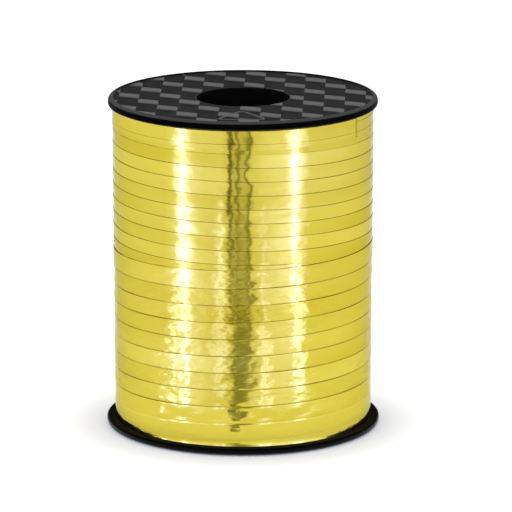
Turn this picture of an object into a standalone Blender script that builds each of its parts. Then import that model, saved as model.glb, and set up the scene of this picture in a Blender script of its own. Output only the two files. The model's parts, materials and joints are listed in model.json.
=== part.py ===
"""Spool of 5 mm metallised curling ribbon.

Two black moulded flanges plug into a core tube. The ribbon is wound on the tube in many layers. Its
outermost layer is made of two overlapping helices, one over the upper half and one over the lower half,
and of one last turn that climbs behind the spool, runs under the top flange and ends in a loose cut end.

Metres, +Z up along the spool's axis, origin at the middle of the face that the spool stands on. Azimuths
are in degrees from the front (-Y), growing to the right (+X) and on round the back.
"""

from math import cos, hypot, pi, radians, sin

import bmesh
import bpy

MM = 0.001

# Spool
HEIGHT = 87.5 * MM  # over both flanges
FLANGE_THICKNESS = 2.0 * MM
TOP_RIM_RADIUS = 35.25 * MM
BOTTOM_RIM_RADIUS = 36.0 * MM
RIM_FILLET = 0.6 * MM
BORE_RADIUS = 12.15 * MM
WALL = 1.5 * MM  # of the bore sleeve and of the spigot
SPIGOT_OUTER_RADIUS = 19.1 * MM
SPIGOT_DEPTH = 12.0 * MM  # how far it plugs into the core tube
SPIGOT_CHAMFER = 0.5 * MM
RIB_THICKNESS = 1.2 * MM
RIB_DEPTH = 8.0 * MM
RIB_BARS = 3  # each bar crosses the bore and leaves two ribs
TUBE_WALL = 1.6 * MM
GAP = 0.3 * MM  # left between pieces that touch

# Ribbon
RIBBON_WIDTH = 5.0 * MM
FILM = 0.12 * MM  # thickness of one layer
PACK_RADIUS = 32.6 * MM  # windings under the outermost layer
LAYER_RADIUS = 33.27 * MM  # middle of a turn in the outermost layer
LAST_TURN_RADIUS = 34.05 * MM
UPPER_PITCH = 3.6 * MM
LOWER_PITCH = 4.47 * MM
UPPER_LAYER_FOOT = 47.5 * MM  # middle of the upper helix's lowest turn, at the front
LOWER_LAYER_HEAD = 46.35 * MM  # middle of the lower helix's highest turn, at the front
UPPER_LAYER_END = 20  # azimuth at which the upper helix goes under the last turn
LAST_TURN_START = -190  # azimuths, counted on past a full turn
CLIMB_START = 100
CLIMB_END = 260
PEEL_LINE = 384  # where the loose end leaves the pack
CUT_END = 422
TAPE_START = 416
TAPE_END = 432
TOP_RUN_HEIGHT = 82.65 * MM  # middle of the last turn below the top flange
TOP_RUN_FALL = 0.35 * MM  # how far it has come down at the cut end
TAPE_WIDTH = 4.4 * MM
TAPE_FILM = 0.06 * MM
START_TAPE_WIDTH = 12.0 * MM
START_TAPE_SPAN = 50  # azimuth covered on the core tube
CORNER_CHAMFER = 1.0 * MM  # of the windings, at the bottom flange

STEPS = 36  # sides of a turn of ribbon, of the windings and of the core tube
FLANGE_STEPS = 48

INNER_LOW = FLANGE_THICKNESS  # the flanges' inner faces
INNER_HIGH = HEIGHT - FLANGE_THICKNESS
TUBE_INNER_RADIUS = SPIGOT_OUTER_RADIUS + GAP
TUBE_OUTER_RADIUS = TUBE_INNER_RADIUS + TUBE_WALL
PACK_INNER_RADIUS = TUBE_OUTER_RADIUS + GAP
START_TAPE_RADIUS = TUBE_OUTER_RADIUS + GAP + TAPE_FILM / 2

BLACK = (0.012, 0.012, 0.013)
GOLD = (0.78, 0.62, 0.12)
CLEAR = (0.85, 0.85, 0.80)


def clear_scene():
    for obj in list(bpy.data.objects):
        bpy.data.objects.remove(obj)


def new_collection(name):
    collection = bpy.data.collections.new(name)
    bpy.context.scene.collection.children.link(collection)
    return collection


def material(name, colour, metallic, roughness, alpha=1.0):
    mat = bpy.data.materials.new(name)
    mat.use_nodes = True
    shader = mat.node_tree.nodes["Principled BSDF"]
    shader.inputs["Base Color"].default_value = (*colour, 1.0)
    shader.inputs["Metallic"].default_value = metallic
    shader.inputs["Roughness"].default_value = roughness
    shader.inputs["Alpha"].default_value = alpha
    return mat


def add_object(name, bm, collection, mat):
    mesh = bpy.data.meshes.new(name)
    bm.to_mesh(mesh)
    bm.free()
    mesh.materials.append(mat)
    obj = bpy.data.objects.new(name, mesh)
    collection.objects.link(obj)
    return obj


def smooth(obj, angle=30):
    obj.data.shade_smooth()
    obj.data.set_sharp_from_angle(angle=radians(angle))


def arc(centre_r, centre_z, radius, start, end, points=4):
    """Points of an arc in the (r, z) plane, angles in degrees from +r."""
    angles = [radians(start + (end - start) * i / (points - 1)) for i in range(points)]
    return [(centre_r + radius * cos(a), centre_z + radius * sin(a)) for a in angles]


def turned(name, outline, steps, collection, mat):
    """A ring turned about Z from a closed outline that runs down its outer side."""
    bm = bmesh.new()
    verts = [bm.verts.new((r, 0.0, z)) for r, z in outline]
    for a, b in zip(verts, verts[1:] + verts[:1]):
        bm.edges.new((a, b))
    obj = add_object(name, bm, collection, mat)
    screw = obj.modifiers.new("turn", "SCREW")
    screw.axis = "Z"
    screw.steps = steps
    screw.render_steps = steps
    screw.use_merge_vertices = True
    screw.merge_threshold = 0.01 * MM
    screw.use_smooth_shade = True
    return obj


def add_cutter(name, bm, cutters):
    mesh = bpy.data.meshes.new(name)
    bm.to_mesh(mesh)
    bm.free()
    obj = bpy.data.objects.new(name, mesh)
    cutters.objects.link(obj)
    obj.hide_render = True
    obj.display_type = "WIRE"
    return obj


def combine(obj, tool, operation):
    modifier = obj.modifiers.new(tool.name, "BOOLEAN")
    modifier.operation = operation
    modifier.object = tool
    modifier.solver = "EXACT"


def box(size, centre):
    bm = bmesh.new()
    bmesh.ops.create_cube(bm, size=1.0)
    bmesh.ops.scale(bm, vec=size, verts=bm.verts)
    bmesh.ops.translate(bm, vec=centre, verts=bm.verts)
    return bm


def flange_outline(rim_radius):
    """Half section of a flange that lies on z = 0 with its spigot pointing up."""
    thick, fillet = FLANGE_THICKNESS, RIM_FILLET
    spigot_top = thick + SPIGOT_DEPTH
    spigot_inner = SPIGOT_OUTER_RADIUS - WALL
    return [
        *arc(rim_radius - fillet, thick - fillet, fillet, 90, 0),
        *arc(rim_radius - fillet, fillet, fillet, 0, -90),
        (BORE_RADIUS + fillet, 0.0),
        (BORE_RADIUS, fillet),
        (BORE_RADIUS, spigot_top),
        (BORE_RADIUS + WALL, spigot_top),
        (BORE_RADIUS + WALL, thick),
        (spigot_inner, thick),
        (spigot_inner, spigot_top),
        (SPIGOT_OUTER_RADIUS - SPIGOT_CHAMFER, spigot_top),
        (SPIGOT_OUTER_RADIUS, spigot_top - SPIGOT_CHAMFER),
        (SPIGOT_OUTER_RADIUS, thick),
    ]


def flange(name, rim_radius, upside_down, collection, cutters, mat):
    """A disc with a bore sleeve, a spigot for the core tube and ribs between the two."""
    outline = flange_outline(rim_radius)
    if upside_down:
        outline = [(r, HEIGHT - z) for r, z in reversed(outline)]
    obj = turned(name, outline, FLANGE_STEPS, collection, mat)

    sunk = FLANGE_THICKNESS / 2  # how far a rib's foot reaches into the disc
    rib_length = 2 * SPIGOT_OUTER_RADIUS - WALL
    rib_middle = FLANGE_THICKNESS - sunk + (RIB_DEPTH + sunk) / 2
    if upside_down:
        rib_middle = HEIGHT - rib_middle
    for i in range(RIB_BARS):
        bar = box((rib_length, RIB_THICKNESS, RIB_DEPTH + sunk), (0.0, 0.0, rib_middle))
        rib = add_cutter(f"{name}_rib_{i + 1}", bar, cutters)
        rib.rotation_euler.z = pi * (i + 0.5) / RIB_BARS
        combine(obj, rib, "UNION")

    bm = bmesh.new()
    bmesh.ops.create_cone(
        bm, cap_ends=True, segments=FLANGE_STEPS, radius1=BORE_RADIUS, radius2=BORE_RADIUS, depth=3 * HEIGHT
    )
    combine(obj, add_cutter(f"{name}_bore", bm, cutters), "DIFFERENCE")
    return obj


def core_tube(collection, mat):
    low, high = INNER_LOW + GAP, INNER_HIGH - GAP
    outline = [
        (TUBE_OUTER_RADIUS, high),
        (TUBE_OUTER_RADIUS, low),
        (TUBE_INNER_RADIUS, low),
        (TUBE_INNER_RADIUS, high),
    ]
    return turned("core_tube", outline, STEPS, collection, mat)


def windings(collection, cutters, mat):
    """All the layers under the outermost one, with a pocket for the tape that starts them."""
    low, high = INNER_LOW + GAP, INNER_HIGH - GAP
    outline = [
        (PACK_RADIUS, high),
        (PACK_RADIUS, low + CORNER_CHAMFER),
        (PACK_RADIUS - CORNER_CHAMFER, low),
        (PACK_INNER_RADIUS, low),
        (PACK_INNER_RADIUS, high),
    ]
    obj = turned("ribbon_windings", outline, STEPS, collection, mat)
    pocket_span = START_TAPE_SPAN + 10
    pocket = strip(start_tape_path(pocket_span), START_TAPE_WIDTH + 2 * GAP, 4 * GAP)
    combine(obj, add_cutter("tape_pocket", pocket, cutters), "DIFFERENCE")
    return obj


def strip(path, width, thickness):
    """A closed flat strip that follows a path round the axis.

    A path holds stations (azimuth in degrees, height, radius, lean). Lean is how much the radius grows per
    unit of height across the strip's width.
    """
    bm = bmesh.new()
    rings = []
    for i, (azimuth, z, radius, lean) in enumerate(path):
        before, after = path[max(i - 1, 0)], path[min(i + 1, len(path) - 1)]
        slope = (after[1] - before[1]) / (radians(after[0] - before[0]) * radius)
        half = width / 2 * hypot(1.0, slope)
        ring = []
        for side, skin in ((1, 1), (-1, 1), (-1, -1), (1, -1)):
            r = radius + lean * side * half + skin * thickness / 2
            a = radians(azimuth)
            ring.append(bm.verts.new((r * sin(a), -r * cos(a), z + side * half)))
        rings.append(ring)
    for ring, following in zip(rings, rings[1:]):
        for k in range(4):
            bm.faces.new((ring[k], ring[k - 1], following[k - 1], following[k]))
    bm.faces.new(rings[0])
    bm.faces.new(reversed(rings[-1]))
    bmesh.ops.recalc_face_normals(bm, faces=bm.faces)
    return bm


def azimuths(start, end, step=360 / STEPS):
    """From start to end, with stations between them on the grid that all the turns share."""
    first = int(start // step) + 1
    inner = []
    while first * step < end - step / 10:
        if first * step > start + step / 10:
            inner.append(first * step)
        first += 1
    return [start, *inner, end]


def ease(t):
    t = min(max(t, 0.0), 1.0)
    return t * t * (3 - 2 * t)


def upper_layer_path():
    """Left-handed turns: each one lies over the lower edge of the turn above it."""
    lean = (GAP + FILM) / UPPER_PITCH
    highest = INNER_HIGH - GAP - RIBBON_WIDTH / 2
    start = -360 * (highest - UPPER_LAYER_FOOT) / UPPER_PITCH
    return [
        (a, UPPER_LAYER_FOOT - UPPER_PITCH * a / 360, LAYER_RADIUS, lean)
        for a in azimuths(start, UPPER_LAYER_END)
    ]


def lower_helix_height(azimuth):
    return LOWER_LAYER_HEAD + LOWER_PITCH * azimuth / 360


def lower_layer_path():
    """Right-handed turns: each one lies over the upper edge of the turn below it."""
    lean = -(GAP + FILM) / LOWER_PITCH
    lowest = INNER_LOW + GAP + RIBBON_WIDTH / 2
    start = -360 * (LOWER_LAYER_HEAD - lowest) / LOWER_PITCH
    return [(a, lower_helix_height(a), LAYER_RADIUS, lean) for a in azimuths(start, LAST_TURN_START)]


def last_turn_height(azimuth):
    """On from the lower helix, up behind the spool, then along under the top flange."""
    run = max(azimuth - CLIMB_END, 0) / (CUT_END - CLIMB_END)
    top_run = TOP_RUN_HEIGHT - TOP_RUN_FALL * run
    helix = lower_helix_height(min(azimuth, CLIMB_START))
    climb = ease((azimuth - CLIMB_START) / (CLIMB_END - CLIMB_START))
    return helix + (top_run - helix) * climb


def last_turn_path(start, end):
    return [(a, last_turn_height(a), LAST_TURN_RADIUS, 0.0) for a in azimuths(start, end)]


def tape_path():
    radius = LAST_TURN_RADIUS + FILM / 2 + GAP + TAPE_FILM / 2
    return [(a, last_turn_height(CUT_END), radius, 0.0) for a in azimuths(TAPE_START, TAPE_END)]


def start_tape_path(span):
    middle = (INNER_LOW + INNER_HIGH) / 2
    return [(a, middle, START_TAPE_RADIUS, 0.0) for a in azimuths(-span / 2, span / 2)]


def degrees_of(length, radius):
    return 360 * length / (2 * pi * radius)


def main():
    clear_scene()
    spool = new_collection("ribbon_spool")
    cutters = new_collection("cutters")

    flange("lower_flange", BOTTOM_RIM_RADIUS, False, spool, cutters, material("lower_flange", BLACK, 0.0, 0.35))
    flange("upper_flange", TOP_RIM_RADIUS, True, spool, cutters, material("upper_flange", BLACK, 0.0, 0.35))
    core_tube(spool, material("core_tube", BLACK, 0.0, 0.5))
    windings(spool, cutters, material("ribbon_windings", GOLD, 1.0, 0.2))

    seam = degrees_of(GAP, LAST_TURN_RADIUS)  # left where two lengths of the ribbon meet
    ribbons = (
        ("ribbon_upper_turns", upper_layer_path()),
        ("ribbon_lower_turns", lower_layer_path()),
        ("ribbon_last_turn", last_turn_path(LAST_TURN_START + seam, PEEL_LINE - seam)),
    )
    for name, path in ribbons:
        body = strip(path, RIBBON_WIDTH, FILM)
        smooth(add_object(name, body, spool, material(name, GOLD, 1.0, 0.15)))

    start_tape = strip(start_tape_path(START_TAPE_SPAN), START_TAPE_WIDTH, TAPE_FILM)
    add_object("start_tape", start_tape, spool, material("start_tape", CLEAR, 0.0, 0.2, 0.5))

    # The loose end turns about an upright axis where it leaves the pack.
    peel = bpy.data.objects.new("peel_axis", None)
    spool.objects.link(peel)
    inner = LAST_TURN_RADIUS - FILM / 2
    peel.location = (inner * sin(radians(PEEL_LINE)), -inner * cos(radians(PEEL_LINE)), TOP_RUN_HEIGHT)
    end = strip(last_turn_path(PEEL_LINE, CUT_END), RIBBON_WIDTH, FILM)
    tape = strip(tape_path(), TAPE_WIDTH, TAPE_FILM)
    pieces = (
        ("ribbon_end", end, material("ribbon_end", GOLD, 1.0, 0.15)),
        ("end_tape", tape, material("end_tape", CLEAR, 0.0, 0.1, 0.3)),
    )
    for name, body, mat in pieces:
        bmesh.ops.translate(body, vec=-peel.location, verts=body.verts)
        obj = add_object(name, body, spool, mat)
        obj.parent = peel


main()
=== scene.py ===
# %% [markdown]
# # A spool of gold curling ribbon
#
# The real thing is a black plastic spool, as tall as a coffee mug, wound full of 5 mm metallised film. Three
# things make it look right. The film is a mirror that is creased along its length, so every light becomes a
# tall streak. The turns overlap like roof tiles, so the streaks step sideways from turn to turn. And the
# flanges are moulded with a woven pattern whose squares catch the light in two shades.
#
# The CAD model gives the sizes. This script reads them and then builds each visible surface again, finer.

# %% The frame
import json
import math
import random

import bmesh
import bpy
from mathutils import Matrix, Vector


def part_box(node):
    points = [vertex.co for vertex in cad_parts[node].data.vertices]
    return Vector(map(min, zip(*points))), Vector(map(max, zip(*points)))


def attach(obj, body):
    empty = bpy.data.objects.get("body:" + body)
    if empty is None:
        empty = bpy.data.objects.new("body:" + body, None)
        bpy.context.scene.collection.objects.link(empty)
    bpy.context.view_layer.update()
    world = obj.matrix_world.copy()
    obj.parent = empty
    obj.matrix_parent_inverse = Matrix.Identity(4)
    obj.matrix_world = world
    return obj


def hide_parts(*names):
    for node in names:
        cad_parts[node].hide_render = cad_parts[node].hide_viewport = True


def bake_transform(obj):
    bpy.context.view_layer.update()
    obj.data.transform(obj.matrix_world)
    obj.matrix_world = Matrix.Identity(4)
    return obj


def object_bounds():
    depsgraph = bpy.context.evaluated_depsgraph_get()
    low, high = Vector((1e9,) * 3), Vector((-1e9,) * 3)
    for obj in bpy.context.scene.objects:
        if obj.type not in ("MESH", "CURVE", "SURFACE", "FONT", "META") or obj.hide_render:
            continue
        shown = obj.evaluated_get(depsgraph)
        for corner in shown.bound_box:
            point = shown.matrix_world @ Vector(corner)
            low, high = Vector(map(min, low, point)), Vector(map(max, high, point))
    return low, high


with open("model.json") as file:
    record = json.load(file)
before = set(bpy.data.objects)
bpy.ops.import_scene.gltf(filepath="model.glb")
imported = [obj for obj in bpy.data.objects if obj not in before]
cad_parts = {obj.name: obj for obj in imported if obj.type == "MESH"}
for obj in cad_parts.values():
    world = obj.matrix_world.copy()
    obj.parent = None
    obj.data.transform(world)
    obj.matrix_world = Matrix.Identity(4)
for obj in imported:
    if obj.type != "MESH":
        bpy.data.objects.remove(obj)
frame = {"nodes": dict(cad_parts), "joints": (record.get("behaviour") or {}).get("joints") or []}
cad_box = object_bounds()
nodes = frame["nodes"]
MM = 0.001

print("nodes:", ", ".join(sorted(nodes)))

# %% [markdown]
# ## Measuring the frame
#
# Everything here is round, so a piece is described by its distance from the axis and its height. Positions
# round the axis are azimuths in degrees: 0 is the front (-Y), and they grow to the right (+X) and on round
# the back. The two helpers read radii and azimuths from the CAD nodes' vertices.


# %% Radii, heights and azimuths
def radii(node):
    """Smallest and largest distance of a node's vertices from the axis."""
    distances = [math.hypot(v.co.x, v.co.y) for v in nodes[node].data.vertices]
    return min(distances), max(distances)


def azimuth_of(x, y):
    return math.degrees(math.atan2(x, -y))


def around(azimuth, radius, z):
    """The point at that azimuth, in degrees, and distance from the axis."""
    a = math.radians(azimuth)
    return (radius * math.sin(a), -radius * math.cos(a), z)


SOLID_GAP = 0.3 * MM  # the CAD solids keep this to each other
bore_radius, top_rim = radii("upper_flange")
bottom_rim = radii("lower_flange")[1]
tube_inner, tube_outer = radii("core_tube")
winding_radius = radii("ribbon_windings")[1]
spool_height = cad_box[1].z
low_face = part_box("core_tube")[0].z - SOLID_GAP  # the flanges' inner faces
high_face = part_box("core_tube")[1].z + SOLID_GAP
peel_joint = frame["joints"][0]
peel_azimuth = azimuth_of(*peel_joint["pos_m"][:2])
cut_azimuth = max(azimuth_of(v.co.x, v.co.y) for v in nodes["ribbon_end"].data.vertices)
tape_azimuths = [azimuth_of(v.co.x, v.co.y) for v in nodes["end_tape"].data.vertices]

print(f"bore {bore_radius / MM:.1f}, rims {top_rim / MM:.2f} and {bottom_rim / MM:.2f} mm")
print(f"ribbon between {low_face / MM:.1f} and {high_face / MM:.1f} mm, cut end at {cut_azimuth:.0f} degrees")

# %% [markdown]
# ## Camera
#
# A long lens from a little over a metre keeps the two flanges nearly the same size, and looking down by
# some 13 degrees opens the top flange into a narrow ellipse. The camera stands level with no roll. It turns
# very slightly to the right, which puts the spool a little left of the middle.

# %% The camera
CAMERA_DISTANCE = 1.1808
CAMERA_HEIGHT = 0.3258
CAMERA_PITCH = 13.396  # degrees down
CAMERA_TURN = 0.166  # degrees to the right
LENS = 324.3


def add_camera():
    data = bpy.data.cameras.new("camera")
    data.lens = LENS
    data.sensor_width = 36
    camera = bpy.data.objects.new("camera", data)
    bpy.context.scene.collection.objects.link(camera)
    camera.location = (0, -CAMERA_DISTANCE, CAMERA_HEIGHT)
    camera.rotation_euler = (math.radians(90 - CAMERA_PITCH), 0, math.radians(-CAMERA_TURN))
    bpy.context.scene.camera = camera


add_camera()
bpy.context.scene.view_settings.view_transform = "Standard"
print("camera looks down", CAMERA_PITCH, "degrees through a", LENS, "mm lens")

# %% [markdown]
# ## Studio
#
# Mirror-like film shows its surroundings more than its own colour, so the room matters as much as the
# material. The floor is white and faintly self-lit, like a light table, and the sky is plain white. Round
# the spool stands a low paper tent that only reflections in the film can see. It is white, with bright seams
# that give the tall streaks, and with dark slits at the front where a lens and its stand would show. Four
# short black slats lie on the floor in front of the spool, and give the dark marks at the film's foot.
#
# Gold film mirrors hardly any blue, so a white lamp would turn into a harsh yellow streak. The seams are
# blue-white, which the film turns into a clean cream. Light linking keeps them away from the plastic.


# %% Helpers for shader nodes
def new_material(name):
    """A node material, its tree and its Principled shader."""
    material = bpy.data.materials.new(name)
    material.use_nodes = True
    tree = material.node_tree
    return material, tree, tree.nodes["Principled BSDF"]


def add_node(tree, kind, inputs=(), **settings):
    """Adds a node, sets its properties, and then fills or links the given inputs."""
    node = tree.nodes.new(kind if kind.startswith("NodeGroup") else "ShaderNode" + kind)
    for key, value in settings.items():
        setattr(node, key, value)
    for key, value in dict(inputs).items():
        if isinstance(value, bpy.types.NodeSocket):
            tree.links.new(value, node.inputs[key])
        else:
            node.inputs[key].default_value = value
    return node


def add_math(tree, operation, first, second=0.0, third=0.0):
    """One Math node; gives back its output."""
    return add_node(tree, "Math", {0: first, 1: second, 2: third}, operation=operation).outputs[0]


def vector_math(tree, operation, inputs):
    return add_node(tree, "VectorMath", inputs, operation=operation).outputs[0]


def remap(tree, value, start, end, low=0.0, high=1.0, interpolation="LINEAR"):
    """Low where the value is at start, high where it is at end."""
    inputs = {"Value": value, "From Min": start, "From Max": end, "To Min": low, "To Max": high}
    return add_node(tree, "MapRange", inputs, interpolation_type=interpolation).outputs["Result"]


def mix_colours(tree, factor, first, second):
    inputs = {"Factor": factor, "A": first, "B": second}
    return add_node(tree, "Mix", inputs, data_type="RGBA").outputs["Result"]


def add_noise(tree, place, scale, detail):
    inputs = {"Vector": place, "Scale": scale, "Detail": detail}
    return add_node(tree, "TexNoise", inputs).outputs["Fac"]


def attribute(tree, name):
    return add_node(tree, "Attribute", attribute_name=name).outputs["Fac"]


def set_inputs(shader, **values):
    """Sets constants on the shader's own sockets: Specular_IOR_Level=0.5 and so on."""
    for key, value in values.items():
        shader.inputs[key.replace("_", " ")].default_value = value


print("node helpers are ready")


# %% Floor and sky
FLOOR_COLOUR = (0.8, 0.8, 0.8, 1.0)
# Glow beside the spool, weaker there as a painted shade round its base and tinted blue to make up for the gold
# that the film sheds, and out in the open.
FLOOR_GLOW = ((0.175, 0.19, 0.24, 1.0), (0.42, 0.42, 0.44, 1.0))
GLOW_RADII = (36 * MM, 52 * MM)
FLOOR_HALF = 4.0
FLOOR_LEVEL = -0.1 * MM
SKY_MIRRORED = (0.42, 0.42, 0.42, 1.0)
WHITE = (1.0, 1.0, 1.0, 1.0)


def add_stage(name, vertices, faces, material):
    mesh = bpy.data.meshes.new(name)
    mesh.from_pydata(vertices, [], faces)
    mesh.materials.append(material)
    obj = bpy.data.objects.new(name, mesh)
    bpy.context.scene.collection.objects.link(obj)
    return obj


def add_floor():
    material, tree, shader = new_material("studio_floor")
    set_inputs(shader, Base_Color=FLOOR_COLOUR, Roughness=1.0, Specular_IOR_Level=0.0, Emission_Strength=1.0)
    where = add_node(tree, "TexCoord").outputs["Object"]
    distance = add_node(tree, "VectorMath", {0: where}, operation="LENGTH").outputs["Value"]
    # Painted shade: the floor glows less beside the spool, and bluer there against the gold the film throws on
    # it.
    outside_painted_shade = remap(tree, distance, *GLOW_RADII, interpolation="SMOOTHSTEP")
    tree.links.new(mix_colours(tree, outside_painted_shade, *FLOOR_GLOW), shader.inputs["Emission Color"])
    h, z = FLOOR_HALF, FLOOR_LEVEL
    return add_stage("floor", [(-h, -h, z), (h, -h, z), (h, h, z), (-h, h, z)], [(0, 1, 2, 3)], material)


def add_sky():
    world = bpy.data.worlds.new("studio")
    world.use_nodes = True
    tree = world.node_tree
    tree.nodes.clear()
    path = add_node(tree, "LightPath")
    white = add_node(tree, "Background", {"Color": WHITE})
    dim = add_node(tree, "Background", {"Color": SKY_MIRRORED})
    inputs = {0: path.outputs["Is Glossy Ray"], 1: white.outputs[0], 2: dim.outputs[0]}
    mix = add_node(tree, "MixShader", inputs)
    add_node(tree, "OutputWorld", {"Surface": mix.outputs[0]})
    bpy.context.scene.world = world


add_floor()
add_sky()
print("floor glows from", FLOOR_GLOW[0][:3], "to", FLOOR_GLOW[1][:3])

# %% Where the tent shows in the film
TENT_RADIUS = 80 * MM
TENT_FOOT = 0.5 * MM
TENT_HEIGHT = 96 * MM
TENT_STEPS = 180
TENT_LIGHT = 1.05
SEAM_LIGHT = (1.55, 1.85, 14.0)
BACK_SEAM = 0.25  # a broad soft seam straight behind
BACK_SEAM_EDGE = (0.955 * TENT_RADIUS, 0.97 * TENT_RADIUS)  # where it fades in, as a distance behind the axis
FILM_RADIUS = 33.85 * MM


def tent_share(azimuth):
    """Part of the way round the tent, from 0 to 1, of the spot that the film mirrors at an azimuth."""
    x, y, _ = around(azimuth, FILM_RADIUS, 0)
    facing = math.atan2(x, CAMERA_DISTANCE + y)  # the lens sees this point from a little to the side
    heading = math.degrees(math.radians(2 * azimuth) + facing)
    dx, dy, _ = around(heading, 1.0, 0)
    along = x * dx + y * dy
    reach = math.sqrt(along**2 + TENT_RADIUS**2 - FILM_RADIUS**2) - along
    return azimuth_of(x + reach * dx, y + reach * dy) / 360 + 0.5


# Azimuth on the film, brightness of the white paper there, and share of a seam's light.
TOP_LIGHTS = (
    (-70, 1.04, 0), (-36, 1.08, 0.01), (-31.5, 1.12, 0.05), (-29.8, 1.15, 0.30), (-28.6, 1.15, 0.85),
    (-25.8, 1.15, 0.85), (-24.6, 1.12, 0.30), (-22, 1.08, 0.10), (-17, 1.05, 0.05), (-10, 1.03, 0.05),
    (-6.9, 0.98, 0), (-6.2, 0.20, 0), (-5.3, 0.20, 0), (-4.6, 0.80, 0), (-3.1, 0.76, 0), (-2.6, 0.22, 0),
    (-2.0, 0.22, 0), (-1.5, 0.78, 0), (1.5, 0.80, 0), (2.1, 0.24, 0), (2.9, 0.24, 0), (3.6, 0.98, 0.01),
    (9, 1.05, 0.05), (18, 1.1, 0.10), (20.8, 1.12, 0.25), (22.0, 1.15, 0.80), (24.2, 1.15, 0.80),
    (25.6, 1.12, 0.25), (29, 1.02, 0.04), (75, 0.93, 0.0),
)
MIDDLE_LIGHTS = (
    (-70, 1.0, 0), (-36, 1.06, 0.01), (-31.5, 1.12, 0.06), (-30, 1.15, 0.35), (-28.8, 1.15, 0.95),
    (-25.2, 1.15, 0.95), (-23.6, 1.12, 0.35), (-20, 1.08, 0.08), (-12.5, 1.0, 0.03), (-9.7, 1.0, 0.40),
    (-8.2, 1.0, 0.03), (-6.6, 0.92, 0), (-5.9, 0.24, 0), (-5.0, 0.24, 0), (-4.4, 0.66, 0), (-2.9, 0.60, 0),
    (-2.4, 0.24, 0), (-1.8, 0.55, 0), (1.4, 0.66, 0), (2.3, 0.26, 0), (3.1, 0.26, 0), (3.9, 0.98, 0.01),
    (7.6, 1.02, 0.04), (8.4, 1.02, 0.32), (9.2, 1.02, 0.06), (21.2, 1.12, 0.28), (22.4, 1.15, 0.90),
    (24.4, 1.15, 0.90), (26, 1.12, 0.2), (29, 1.08, 0.0),
)
LOWER_LIGHTS = (
    (-70, 1.03, 0), (-37, 1.12, 0.02), (-33.4, 1.08, 0.10), (-32.4, 1.1, 0.65), (-31, 1.1, 0.65),
    (-29.8, 1.1, 0.12), (-28, 1.1, 0.14), (-27, 1.1, 1.0), (-25.4, 1.1, 1.0), (-24.2, 1.08, 0.2),
    (-14, 1.0, 0.04), (-11.5, 1.0, 0.30), (-10.2, 1.0, 0.05), (-8.8, 1.0, 0.40), (-7.6, 1.0, 0.02),
    (-5.2, 0.95, 0), (-4, 0.42, 0), (-1.8, 0.32, 0), (1.2, 0.38, 0), (3, 0.50, 0), (4.6, 0.90, 0.02),
    (7.2, 1.05, 0.08), (8.2, 1.08, 0.55), (9.6, 1.08, 0.10), (11, 1.08, 0.50), (12.4, 1.08, 0.07),
    (22, 1.1, 0.12), (24.8, 1.15, 0.75), (26.6, 1.14, 0.55), (29, 1.14, 0.0),
)
FOOT_LIGHTS = (
    (-70, 0.95, 0), (-39.5, 1.05, 0.02), (-38.4, 1.1, 1.1), (-36.4, 1.1, 1.1), (-35.4, 1.08, 0.05),
    (-29.5, 1.1, 0.1), (-28.4, 1.1, 0.9), (-26.8, 1.1, 0.9), (-25.8, 1.12, 0.16), (-19, 1.1, 0.08),
    (-8, 1.0, 0.02), (-5.5, 0.45, 0), (-1.0, 0.40, 0), (2.0, 0.95, 0.02), (7, 1.05, 0.25), (9, 1.05, 0.1),
    (11, 1.05, 0.3), (13, 1.05, 0.06), (24, 1.14, 0.13), (31, 1.14, 0.11), (40, 1.05, 0.03),
    (75, 0.95, 0.0),
)
# Lights for each band of the tent, from the foot up, each with the heights between which it takes over.
TENT_BANDS = ((FOOT_LIGHTS, 0, 0), (LOWER_LIGHTS, 3, 5), (MIDDLE_LIGHTS, 22, 34), (TOP_LIGHTS, 46, 54))
print("film at 30 degrees shows the tent at", round(360 * tent_share(30) - 180), "degrees")


# %% The tent
def add_lights_ramp(tree, place, lights):
    """Red is the paper's brightness, halved to stay below one, and green is the seams' share, halved too."""
    ramp = add_node(tree, "ValToRGB", {"Fac": place})
    stops = ramp.color_ramp.elements
    stops.remove(stops[1])
    places = [0.0, *[tent_share(azimuth) for azimuth, _, _ in lights], 1.0]
    plain = (0, 1.0, 0.0)  # both ends of the ramp meet behind the spool
    for i, (place, (_, paper, seam)) in enumerate(zip(places, (plain, *lights, plain))):
        stop = stops[0] if i == 0 else stops.new(place)
        stop.position = place
        stop.color = (paper / 2, seam / 2, 0, 1)
    return ramp.outputs["Color"]


def shine(tree, colour, strength):
    """Puts a plain light in the place of the shader."""
    light = add_node(tree, "Emission", {"Color": colour, "Strength": strength})
    tree.nodes.remove(tree.nodes["Principled BSDF"])
    tree.links.new(light.outputs[0], tree.nodes["Material Output"].inputs["Surface"])


def make_tent_paper():
    material, tree, _ = new_material("tent_paper")
    where = add_node(tree, "TexCoord").outputs["Object"]
    apart = add_node(tree, "SeparateXYZ", {0: where}).outputs
    ahead = add_math(tree, "MULTIPLY", apart[1], -1.0)
    bearing = add_node(tree, "CombineXYZ", {0: ahead, 1: apart[0]}).outputs[0]
    place = add_node(tree, "TexGradient", {0: bearing}, gradient_type="RADIAL").outputs["Fac"]
    lights = None
    for band, low, high in TENT_BANDS:
        ramp = add_lights_ramp(tree, place, band)
        if lights:
            rise = remap(tree, apart[2], low * MM, high * MM, interpolation="SMOOTHSTEP")
            lights = mix_colours(tree, rise, lights, ramp)
        else:
            lights = ramp
    paper, seam, _ = add_node(tree, "SeparateColor", {0: lights}).outputs
    seam = add_math(tree, "ADD", seam, remap(tree, apart[1], *BACK_SEAM_EDGE, high=BACK_SEAM))
    whites = add_math(tree, "MULTIPLY", paper, 2 * TENT_LIGHT)
    doubled = tuple(2 * c for c in SEAM_LIGHT)
    glow = vector_math(tree, "SCALE", {0: doubled, "Scale": seam})
    total = vector_math(tree, "ADD", {0: glow, 1: whites})
    shine(tree, total, 1.0)
    return material


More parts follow.
